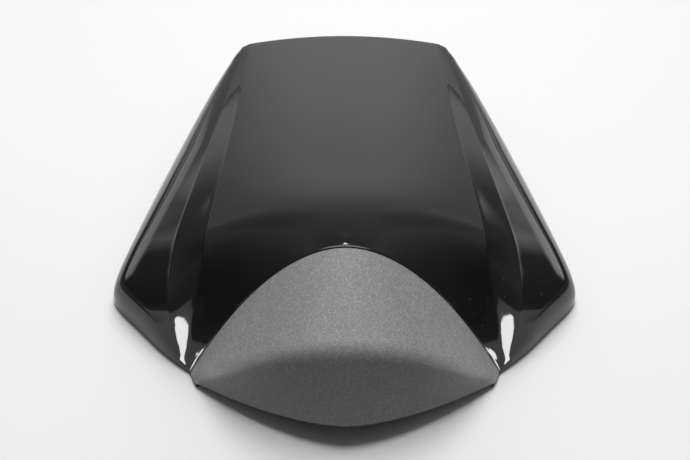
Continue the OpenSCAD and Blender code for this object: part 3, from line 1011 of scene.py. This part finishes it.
    def add_recess(self) -> None:
        """Lip along the arch, and behind it the pad's seat with its outer edges."""
        f = self.form
        deep, back, r = f.pad_t + f.pad_gap, f.pad_t + f.wall, self.lip_round
        u = np.linspace(-1, 1, self.lip_cells + 1)
        lip = [(r, 0.0), (f.lip_w - self.lip_edge, 0.0), (f.lip_w - self.lip_turn, self.lip_turn),
               (f.lip_w, self.lip_edge), (f.lip_w, deep)]
        self.book.grid(np.array([f.inset(u, 0 * u, e, q) for e, q in lip]))
        u, w = face_places(*self.seat_cells)
        seat = f.inset(u, w, f.lip_w, deep)
        self.book.grid(seat)
        rear = f.inset(u, w, f.lip_w, back)
        self.book.grid(np.array([seat[-1], rear[-1]]))
        self.book.grid(np.array([seat[:, 0], rear[:, 0]]))
        self.book.grid(np.array([seat[:, -1], rear[:, -1]]), flip=True)

    def add_inner(self) -> None:
        """Inner skin, the back of the recess and the strip along the rim."""
        f, steps = self.form, self.inner_steps
        v = np.linspace(0, 1, self.inner_rows)
        body = self.half_rows(v, f.wall, f.rim_z(v), steps, False)
        wall = self.tail_wall(body[0], steps, self.inner_wall_rows)
        inner = np.concatenate([wall[:-1], body])
        self.book.grid(self.whole(inner), flip=True)
        back = f.under_face(*face_places(*self.back_cells), f.wall + f.pad_t)
        self.book.grid(back)
        arch_in = self.whole(inner[-1:])[0]
        near = np.array([back[0][np.argmin(np.linalg.norm(back[0] - p, axis=1))] for p in arch_in])
        self.book.grid(np.array([arch_in, near]), flip=True)
        outer = self.half_rows(v, 0, f.rim_z(v), self.steps, True)
        rim = np.stack([outer[:, -1], body[:, -1]])
        self.book.grid(rim)
        self.book.grid(rim * np.array([-1, 1, 1]), flip=True)
        tail_out = self.tail_wall(outer[0], self.steps, 2)[0]
        tail_in = self.tail_wall(body[0], steps, 2)[0]
        share = np.linspace(0, 1, self.strip_cells + 1)
        across = [np.stack([np.interp(share * r[-1, 0], r[:, 0], r[:, k]) for k in range(3)], -1)
                  for r in (tail_out, tail_in)]
        strip = np.array(across)
        self.book.grid(strip, flip=True)
        self.book.grid(strip * np.array([-1, 1, 1]))

    def surface_under(self, d: float) -> BVHTree:
        """Skin under the outer one, to take heights from.

        Args:
            d: Depth under the outer skin.

        Returns:
            A tree that finds where a ray meets the skin.
        """
        f, book = self.form, MeshBook()
        v = np.linspace(0, 1, self.probe_rows)
        book.grid(self.whole(self.half_rows(v, d, f.rim_z(v), self.probe_steps, False)))
        return BVHTree.FromPolygons(np.concatenate(book.points).tolist(), book.faces)

    def height(self, tree: BVHTree, x: float, y: float) -> float | None:
        """Height of a surface over a point, or None where there is none."""
        hit = tree.ray_cast(Vector((x, y, self.probe_top)), Vector((0, 0, -1)))
        return None if hit[0] is None else hit[0].z

    def add_rib(self, points: np.ndarray, across: np.ndarray, skin: BVHTree, foot: BVHTree) -> None:
        """Thin upright rib that hangs from the inner skin.

        Args:
            points: Places along the rib, as x and y.
            across: Direction of its thickness.
            skin: Surface that its top is sunk into.
            foot: Surface that its lower edge follows.
        """
        tops, feet = [], []
        for x, y in points:
            top, low = self.height(skin, x, y), self.height(foot, x, y)
            if top is None or low is None:
                continue
            tops.append((x, y, top + self.sunk))
            feet.append((x, y, low))
        if len(tops) < 2:
            return
        half = across * self.rib_t / 2
        top, low = np.array(tops), np.array(feet)
        self.book.grid(np.array([top + half, low + half, low - half, top - half]))

    def add_ribs(self) -> None:
        """Two long ribs and three cross ribs under the skin."""
        f = self.form
        skin, foot = self.surface_under(f.wall), self.surface_under(f.wall + self.rib_h)
        for side in Side:
            x = side.value * self.long_rib * f.hump_tail_w
            y = np.linspace(f.arch_y, f.tail_y - 2 * f.wall, self.long_cells + 1)
            line = np.stack([np.full(len(y), x), y], -1)
            self.add_rib(line, np.array([1.0, 0, 0]), skin, foot)
        for share in self.cross_ribs:
            x = np.linspace(-f.wing_w / 2, f.wing_w / 2, self.cross_cells + 1)
            line = np.stack([x, np.full(len(x), f.along(share))], -1)
            self.add_rib(line, np.array([0, 1.0, 0]), skin, foot)

    def add_bosses(self) -> None:
        """Tapered screw bosses from the base plate up into the roof."""
        f = self.form
        skin = self.surface_under(f.wall)
        edge = f.edge_line(0)
        turn = np.linspace(0, 2 * math.pi, self.boss_sides, endpoint=False)
        ring = np.stack([np.cos(turn), np.sin(turn), 0 * turn], -1)
        for station, inside in self.boss_spots:
            e = spline(edge, np.array([station]))[0]
            for side in Side:
                x, y = side.value * (e[0] - inside), e[1]
                low = np.array([x, y, self.boss_foot])
                foot = low + ring * self.boss_d / 2
                top = low + ring * (self.boss_d / 2 + self.boss_taper)
                for point in top:
                    point[2] = (self.height(skin, point[0], point[1]) or self.boss_foot) + self.sunk
                self.book.grid(np.array([foot, top]), ring=True)
                self.book.grid(np.array([foot, low + ring * self.screw_r]), ring=True, flip=True)

    def make(self) -> bpy.types.Object:
        """Builds the shell and dresses it.

        Returns:
            The finished piece.
        """
        self.add_outer()
        self.add_recess()
        self.add_inner()
        self.add_ribs()
        self.add_bosses()
        obj = self.book.build("shell_skin")
        obj.data.materials.append(GlossPaint().make())
        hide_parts("cowl_shell")
        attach(obj, "root")
        return obj


@dataclass
class FrontPad:
    """The grained pad that sits in the arched recess, with its four studs.

    Each stud stands at a share of the way to the pad's end and a share of the way down.
    """

    form: CowlForm
    edge_round: float = 1.1 * MM
    edge_steps: int = 6
    arch_round: float = 0.35
    stud_d: float = 5 * MM
    stud_len: float = 9 * MM
    stud_chamfer: float = 0.6 * MM
    stud_sides: int = 28
    studs: tuple = ((0.42, 0.16), (0.36, 0.84))
    cells: tuple = (220, 90)
    back_cells: tuple = (60, 24)

    def add_face(self, book: MeshBook) -> None:
        """Front face with rounded edges, side walls and back.

        Args:
            book: The mesh that they go into.
        """
        f, r = self.form, self.edge_round
        arch = f.lip_w + f.pad_gap
        uu, ww = face_places(*self.cells)
        u, w = uu[0], ww[:, 0]
        one = np.ones_like(w)

        def ring(e: float, q: float) -> np.ndarray:
            """Closed ring along the pad's outline.

            Args:
                e: How far it lies inside the outline.
                q: Depth under the face.

            Returns:
                The ring's points in order.
            """
            near = arch + e * self.arch_round
            return np.concatenate([
                f.inset(u, 0 * u, near, q, e)[:-1], f.inset(one, w, near, q, e)[:-1],
                f.inset(u[::-1], 0 * u + 1, near, q, e)[:-1], f.inset(-one, w[::-1], near, q, e)[:-1]])

        book.grid(f.inset(uu, ww, arch + r * self.arch_round, 0, r))
        quarter = np.linspace(0, math.pi / 2, self.edge_steps + 1)
        rings = [ring(r * (1 - math.sin(t)), r * (1 - math.cos(t))) for t in quarter]
        book.grid(np.array(rings + [ring(0, f.pad_t)]), ring=True)
        book.grid(f.inset(*face_places(*self.back_cells), arch, f.pad_t), flip=True)

    def add_studs(self, book: MeshBook) -> None:
        """Four studs behind the pad, each with a small chamfer at its end.

        Args:
            book: The mesh that they go into.
        """
        f, chamfer = self.form, self.stud_chamfer
        turn = np.linspace(0, 2 * math.pi, self.stud_sides, endpoint=False)
        for u, w in self.studs:
            for side in Side:
                at, to = np.array([u * side.value]), np.array([w])
                n = f.face_normal(at, to)[0]
                base = f.under_face(at, to, f.pad_t)[0]
                x = unit(np.cross(n, [0, 0, 1.0]))
                ring = np.outer(np.cos(turn), x) + np.outer(np.sin(turn), np.cross(n, x))
                r, end = self.stud_d / 2, base - n * self.stud_len
                rows = [base + ring * r, end + n * chamfer + ring * r, end + ring * (r - chamfer)]
                book.grid(np.array(rows), ring=True)
                book.fan(rows[-1], flip=True)

    def make(self) -> bpy.types.Object:
        """Builds the pad and dresses it.

        Returns:
            The finished piece.
        """
        book = MeshBook()
        self.add_face(book)
        self.add_studs(book)
        obj = book.build("pad_grained")
        obj.data.materials.append(GrainedPad().make())
        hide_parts("front_pad")
        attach(obj, "root")
        return obj


@dataclass
class Hardware:
    """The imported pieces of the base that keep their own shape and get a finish."""

    base: tuple = ("base_plate",)
    rubber: tuple = ("rubber_bumpers",)
    clips: tuple = ("pad_clips",)
    striker: tuple = ("latch_striker",)
    zinc: tuple = ("base_screws", "base_washers", "striker_plate", "striker_washers", "striker_nuts")
    spring_colour: tuple = (0.55, 0.54, 0.52)
    spring_tint: tuple = (0.4, 0.38, 0.33)
    rod_colour: tuple = (0.66, 0.66, 0.68)
    rod_roughness: float = 0.22

    def dress(self, nodes: dict, names: tuple, material: bpy.types.Material) -> None:
        """Gives the named pieces one material.

        Args:
            nodes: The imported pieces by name.
            names: The pieces to dress.
            material: What they get.
        """
        for name in names:
            data = nodes[name].data
            data.materials.clear()
            data.materials.append(material)
            log.info("dressed %s", name)

    def make(self, nodes: dict) -> None:
        """Dresses every kept piece.

        Args:
            nodes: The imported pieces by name.
        """
        spring = PlatedSteel(Slot.CLIP, "spring", self.spring_colour, self.spring_tint)
        rod = PlatedSteel(Slot.STRIKER, "rod", self.rod_colour, roughness=self.rod_roughness)
        self.dress(nodes, self.base, MouldedPlastic().make())
        self.dress(nodes, self.rubber, MouldedRubber().make())
        self.dress(nodes, self.clips, spring.make())
        self.dress(nodes, self.striker, rod.make())
        self.dress(nodes, self.zinc, PlatedSteel(Slot.ZINC, "plate").make())


@dataclass(frozen=True)
class PhotoCamera:
    """Camera that looks down on the front at a steep angle.

    The lens is given in pixels of the frame's width, and the angles in degrees.
    """

    focal_px: float = 1212.0
    frame_px: float = 690.0
    sensor: float = 36.0
    pitch: float = 46.36
    yaw: float = 0.42
    roll: float = 0.3
    back: float = 559.8 * MM
    height: float = 587 * MM
    shift_x: float = -0.4 * MM
    shift_y: float = -11.4 * MM
    clip: tuple = (0.01, 30)

    def make(self) -> bpy.types.Object:
        """Builds the camera and makes it the scene's.

        Returns:
            The new camera.
        """
        data = bpy.data.cameras.new("photo_camera")
        data.sensor_width = self.sensor
        data.lens = self.focal_px * self.sensor / self.frame_px
        data.clip_start, data.clip_end = self.clip
        obj = bpy.data.objects.new("photo_camera", data)
        bpy.context.scene.collection.objects.link(obj)
        turn = Matrix.Rotation(-math.radians(self.yaw), 3, "Z")
        look = Matrix.Rotation(math.radians(90 - self.pitch), 3, "X")
        tilt = Matrix.Rotation(math.radians(self.roll), 3, "Z")
        place = turn @ Vector((-self.shift_x, -self.back, self.height)) + Vector((0, -self.shift_y, 0))
        obj.matrix_world = Matrix.Translation(place) @ (turn @ look @ tilt).to_4x4()
        bpy.context.scene.camera = obj
        return obj


Term = bpy.types.NodeSocket | float


class Sums:
    """A short way to write sums in a node tree, on its sockets and on numbers."""

    def __init__(self, tree: bpy.types.NodeTree) -> None:
        """Keeps the tree that the sums go into."""
        self.tree = tree

    def node(self, kind: str) -> bpy.types.Node:
        """Adds a node."""
        return self.tree.nodes.new(kind)

    def do(self, kind: str, *terms: Term) -> bpy.types.NodeSocket:
        """Adds one sum.

        Args:
            kind: What it does.
            terms: What it takes.

        Returns:
            The socket with its result.
        """
        node = self.node("ShaderNodeMath")
        node.operation = kind
        for socket, term in zip(node.inputs, terms):
            if isinstance(term, (int, float)):
                socket.default_value = term
            else:
                self.tree.links.new(term, socket)
        return node.outputs[0]

    def product(self, *terms: Term) -> bpy.types.NodeSocket:
        """Product of two or more terms.

        Args:
            terms: What is multiplied.

        Returns:
            The socket with the product.
        """
        total = terms[0]
        for term in terms[1:]:
            total = self.do("MULTIPLY", total, term)
        return total

    def between(self, a: Term, b: Term, share: Term) -> bpy.types.NodeSocket:
        """Value that lies a share of the way from a to b."""
        return self.do("ADD", self.product(a, self.do("SUBTRACT", 1.0, share)), self.product(b, share))

    def step(self, source: bpy.types.NodeSocket, low: float, high: float) -> bpy.types.NodeSocket:
        """Soft step.

        Args:
            source: What is compared.
            low: Where the step leaves 0.
            high: Where it reaches 1.

        Returns:
            The socket with the step.
        """
        node = self.node("ShaderNodeMapRange")
        node.interpolation_type = "SMOOTHSTEP"
        node.inputs["From Min"].default_value = low
        node.inputs["From Max"].default_value = high
        self.tree.links.new(source, node.inputs["Value"])
        return node.outputs["Result"]

    def ramp(self, source: bpy.types.NodeSocket, stops: tuple) -> bpy.types.NodeSocket:
        """Value that runs straight from stop to stop.

        Args:
            source: Where on the ramp the value is read.
            stops: Pairs of a place from 0 to 1 and a value.

        Returns:
            The socket with the value.
        """
        peak = max(value for _, value in stops)
        node = add_ramp(self.tree, source, [(at, (value / peak,) * 3) for at, value in stops])
        return self.do("MULTIPLY", node.outputs["Color"], peak)


@dataclass(frozen=True)
class Surround:
    """Soft light from all round, and a plain backdrop for the camera.

    A direction has x to the side, y behind the tail and z up. Each stop of behind,
    corner and beside is a height above the horizon, as the sine of its angle, and a
    level. A bright band lies behind the tail at each side: glow is its level and
    glow_top its upper edge, by how far the direction turns to the side. The cap is a
    bright patch high in front that only mirror rays see, and the front is dimmed to
    front_share for diffuse rays only. The right side is brighter by right_gain and the
    left side darker. A pair of numbers is where a soft step starts and ends.
    """

    behind: tuple = ((0.0, 0.75), (0.1, 1.0), (0.24, 1.28), (0.34, 1.15), (0.5, 0.95), (0.64, 0.84),
                     (0.71, 0.74), (0.77, 0.58), (0.84, 0.4), (0.91, 0.52), (0.94, 0.62), (0.965, 0.34))
    corner: tuple = ((0.0, 0.7), (0.17, 0.55), (0.26, 0.52), (0.34, 0.6), (0.42, 0.66), (0.5, 0.74),
                     (0.57, 0.86), (0.64, 0.92), (0.71, 0.86), (0.77, 0.68), (0.82, 0.48), (0.95, 0.36))
    beside: tuple = ((0.0, 0.1), (0.2, 0.1), (0.4, 0.16), (0.57, 0.26), (0.7, 0.42), (0.8, 0.54),
                     (0.87, 0.34), (0.95, 0.34))
    glow: tuple = ((0.45, 1.2), (0.53, 1.4), (0.66, 1.7), (0.78, 2.2), (0.87, 2.6), (1.0, 2.4))
    glow_top: tuple = ((0.45, 0.1), (0.53, 0.15), (0.66, 0.18), (0.75, 0.24), (0.81, 0.28), (0.94, 0.26),
                       (1.0, 0.24))
    corner_x: tuple = (0.08, 0.5)
    side_lean: float = 0.35
    side_turn: tuple = (0.6, 0.95)
    glow_x: tuple = (0.42, 0.55)
    glow_y: tuple = (0.16, 0.34)
    glow_fade: tuple = (0.8, 1.2)
    right_gain: float = 0.16
    cap: float = 7.5
    cap_ahead: tuple = (0.12, 0.3)
    cap_z: tuple = (0.78, 0.9)
    front_share: float = 0.3
    front_y: tuple = (-0.5, 0.4)
    backdrop: float = 0.85
    least_flat: float = 1e-4

    def make(self) -> None:
        """Builds the world's light from the direction of view."""
        world = bpy.data.worlds.new("surround")
        bpy.context.scene.world = world
        world.use_nodes = True
        tree = world.node_tree
        tree.nodes.clear()
        sums = Sums(tree)
        place, split = sums.node("ShaderNodeTexCoord"), sums.node("ShaderNodeSeparateXYZ")
        tree.links.new(place.outputs["Generated"], split.inputs[0])
        x, y, z = split.outputs
        rise = sums.do("SUBTRACT", 1.0, sums.product(z, z))
        flat = sums.do("SQRT", sums.do("MAXIMUM", rise, self.least_flat))
        out_x = sums.do("DIVIDE", sums.do("ABSOLUTE", x), flat)
        out_y = sums.do("DIVIDE", y, flat)
        to_corner = sums.step(out_x, *self.corner_x)
        rear = sums.between(sums.ramp(z, self.behind), sums.ramp(z, self.corner), to_corner)
        turn = sums.step(sums.do("MULTIPLY_ADD", z, self.side_lean, out_y), *self.side_turn)
        level = sums.between(sums.ramp(z, self.beside), rear, turn)
        high = sums.do("DIVIDE", z, sums.ramp(out_x, self.glow_top))
        under_top = sums.do("SUBTRACT", 1.0, sums.step(high, *self.glow_fade))
        band = sums.product(sums.step(out_x, *self.glow_x), sums.step(out_y, *self.glow_y),
                            sums.ramp(out_x, self.glow), under_top)
        level = sums.do("MAXIMUM", level, band)
        level = sums.product(level, sums.do("MULTIPLY_ADD", x, self.right_gain, 1.0))
        ray = sums.node("ShaderNodeLightPath")
        cap = sums.product(sums.step(sums.do("MULTIPLY", y, -1.0), *self.cap_ahead),
                           sums.step(z, *self.cap_z), ray.outputs["Is Glossy Ray"])
        level = sums.do("MAXIMUM", level, sums.do("MULTIPLY", cap, self.cap))
        in_front = sums.do("SUBTRACT", 1.0, sums.step(y, *self.front_y))
        ahead = sums.product(in_front, ray.outputs["Is Diffuse Ray"])
        level = sums.product(level, sums.do("MULTIPLY_ADD", ahead, self.front_share - 1, 1.0))
        level = sums.between(level, self.backdrop, ray.outputs["Is Camera Ray"])
        light, out = sums.node("ShaderNodeBackground"), sums.node("ShaderNodeOutputWorld")
        tree.links.new(level, light.inputs["Strength"])
        tree.links.new(light.outputs["Background"], out.inputs["Surface"])


@dataclass(frozen=True)
class PaleFloor:
    """Plain pale floor for the camera, with painted reflections for mirror rays, which bounces less light.

    Camera rays see its tone everywhere. Mirror rays see a light sheet round the cowl,
    which turns dark past the soft edges sheet_x with sheet_y, wide_x or front_y; there a
    ramp by the distance behind the middle gives the tone of a painted reflection. They
    also see two glowing strips, one at each side, that paint white highlights into the
    gloss, given as rows of the distance from the middle line, the near edge and the far
    edge, both in front of the middle. Diffuse rays see bounce as its tone.
    All places are in metres.
    """

    size: float = 6.0
    cells: int = 8
    under: float = 0.2 * MM
    tone: float = 0.93
    sheet_x: tuple = (0.2, 0.235)
    sheet_y: tuple = (-0.13, -0.09)
    wide_x: tuple = (0.37, 0.42)
    front_y: tuple = (-0.24, -0.21)
    # Floor tones that only mirror rays see, by the distance behind the middle: painted reflections.
    painted_reflection_tone: tuple = ((0.0, 0.17), (0.04, 0.09), (0.08, 0.06), (0.2, 0.1), (0.28, 0.28), (0.36, 0.45),
                  (0.6, 0.62), (0.95, 0.74))
    bounce: float = 0.15
    # Two glowing strips that only mirror rays see: painted highlights in the gloss.
    strip: tuple = ((0.117, 0.113, 0.121), (0.15, 0.137, 0.148), (0.181, 0.159, 0.171), (0.214, 0.17, 0.191),
                    (0.235, 0.175, 0.199), (0.265, 0.181, 0.195), (0.31, 0.187, 0.192))
    painted_highlight_level: float = 16.0

    def make(self) -> bpy.types.Object:
        """Builds the floor under the rim.

        Returns:
            The floor.
        """
        book, line = MeshBook(), np.linspace(-self.size / 2, self.size / 2, self.cells + 1)
        x, y = np.meshgrid(line, line)
        book.grid(np.stack([x, y, 0 * x - self.under], -1))
        floor = book.build("floor")
        material = bpy.data.materials.new("floor")
        t = NodeTree(material)
        t.set(Roughness=0.9, IOR=1.3, Specular_IOR_Level=0.0)
        sums = Sums(t.tree)
        split = sums.node("ShaderNodeSeparateXYZ")
        t.link(t.place, "Object", split, 0)
        across = sums.do("ABSOLUTE", split.outputs["X"])
        along = split.outputs["Y"]
        # Where mirror rays see the floor dark: mask of the painted reflections.
        beside = sums.product(sums.step(across, *self.sheet_x), sums.step(along, *self.sheet_y))
        in_front = sums.do("SUBTRACT", 1.0, sums.step(along, *self.front_y))
        painted_reflection_mask = sums.do("MAXIMUM", beside, sums.step(across, *self.wide_x))
        painted_reflection_mask = sums.do("MAXIMUM", painted_reflection_mask, in_front)
        ray = sums.node("ShaderNodeLightPath")
        seen = ray.outputs["Is Glossy Ray"]
        for_diffuse = sums.do("MULTIPLY", ray.outputs["Is Diffuse Ray"], self.bounce - self.tone)
        # Tone that only mirror rays see there: painted reflection.
        painted_reflection = sums.product(painted_reflection_mask, seen, sums.do("SUBTRACT", sums.ramp(along, self.painted_reflection_tone), self.tone))
        tone = sums.do("ADD", sums.do("ADD", for_diffuse, painted_reflection), self.tone)
        t.tree.links.new(tone, t.shader.inputs["Base Color"])
        # Glow of the two strips, seen by mirror rays only: painted highlights in the gloss.
        ahead = sums.do("MULTIPLY", along, -1.0)
        near = sums.ramp(across, tuple((x, a) for x, a, _ in self.strip))
        far = sums.ramp(across, tuple((x, b) for x, _, b in self.strip))
        painted_highlight_mask = sums.product(sums.do("GREATER_THAN", ahead, near), sums.do("LESS_THAN", ahead, far),
                           sums.do("GREATER_THAN", across, self.strip[0][0]),
                           sums.do("LESS_THAN", across, self.strip[-1][0]), seen)
        t.set(Emission_Color=(1, 1, 1, 1))
        t.tree.links.new(sums.do("MULTIPLY", painted_highlight_mask, self.painted_highlight_level), t.shader.inputs["Emission Strength"])
        floor.data.materials.append(material)
        return floor


@dataclass
class Studio:
    """The floor, a small lamp overhead, a broad lamp behind, and the light from all round."""

    overhead_size: float = 0.36
    overhead_place: tuple = (0.0, 0.0, 1.5)
    overhead_level: float = 20.0
    back_size: float = 0.9
    back_place: tuple = (0.06, 0.58, 1.45)
    back_level: float = 6.3

    def add_light(self, name: str, size: float, level: float, at: tuple, in_gloss: bool) -> None:
        """Adds one round flat lamp that faces the cowl.

        Args:
            name: The lamp's name.
            size: Its diameter, in metres.
            level: How bright its face looks, where the floor is about 1.
            at: Where it stands.
            in_gloss: Whether the paint mirrors it.
        """
        place = Vector(at)
        data = bpy.data.lights.new(name, "AREA")
        data.shape = "DISK"
        data.size = size
        data.energy = level * math.pi * size * size * math.pi / 4
        lamp = bpy.data.objects.new(name, data)
        lamp.location = place
        lamp.rotation_euler = (-place).to_track_quat("-Z", "Y").to_euler()
        lamp.visible_glossy = in_gloss
        bpy.context.scene.collection.objects.link(lamp)

    def make(self) -> None:
        """Builds the whole setting."""
        PaleFloor().make()
        self.add_light("overhead", self.overhead_size, self.overhead_level, self.overhead_place, True)
        self.add_light("back_light", self.back_size, self.back_level, self.back_place, False)
        Surround().make()
        bpy.context.scene.view_settings.view_transform = "Standard"


def main() -> None:
    """Builds the setting and every piece in order."""
    logging.basicConfig(level=logging.INFO, format="%(name)s: %(message)s")
    PhotoCamera().make()
    Studio().make()
    form = CowlForm()
    for piece in (CowlShell(form), FrontPad(form)):
        obj = piece.make()
        log.info("built %s with %d faces", obj.name, len(obj.data.polygons))
    Hardware().make(frame["nodes"])


if __name__ == "__main__":
    main()
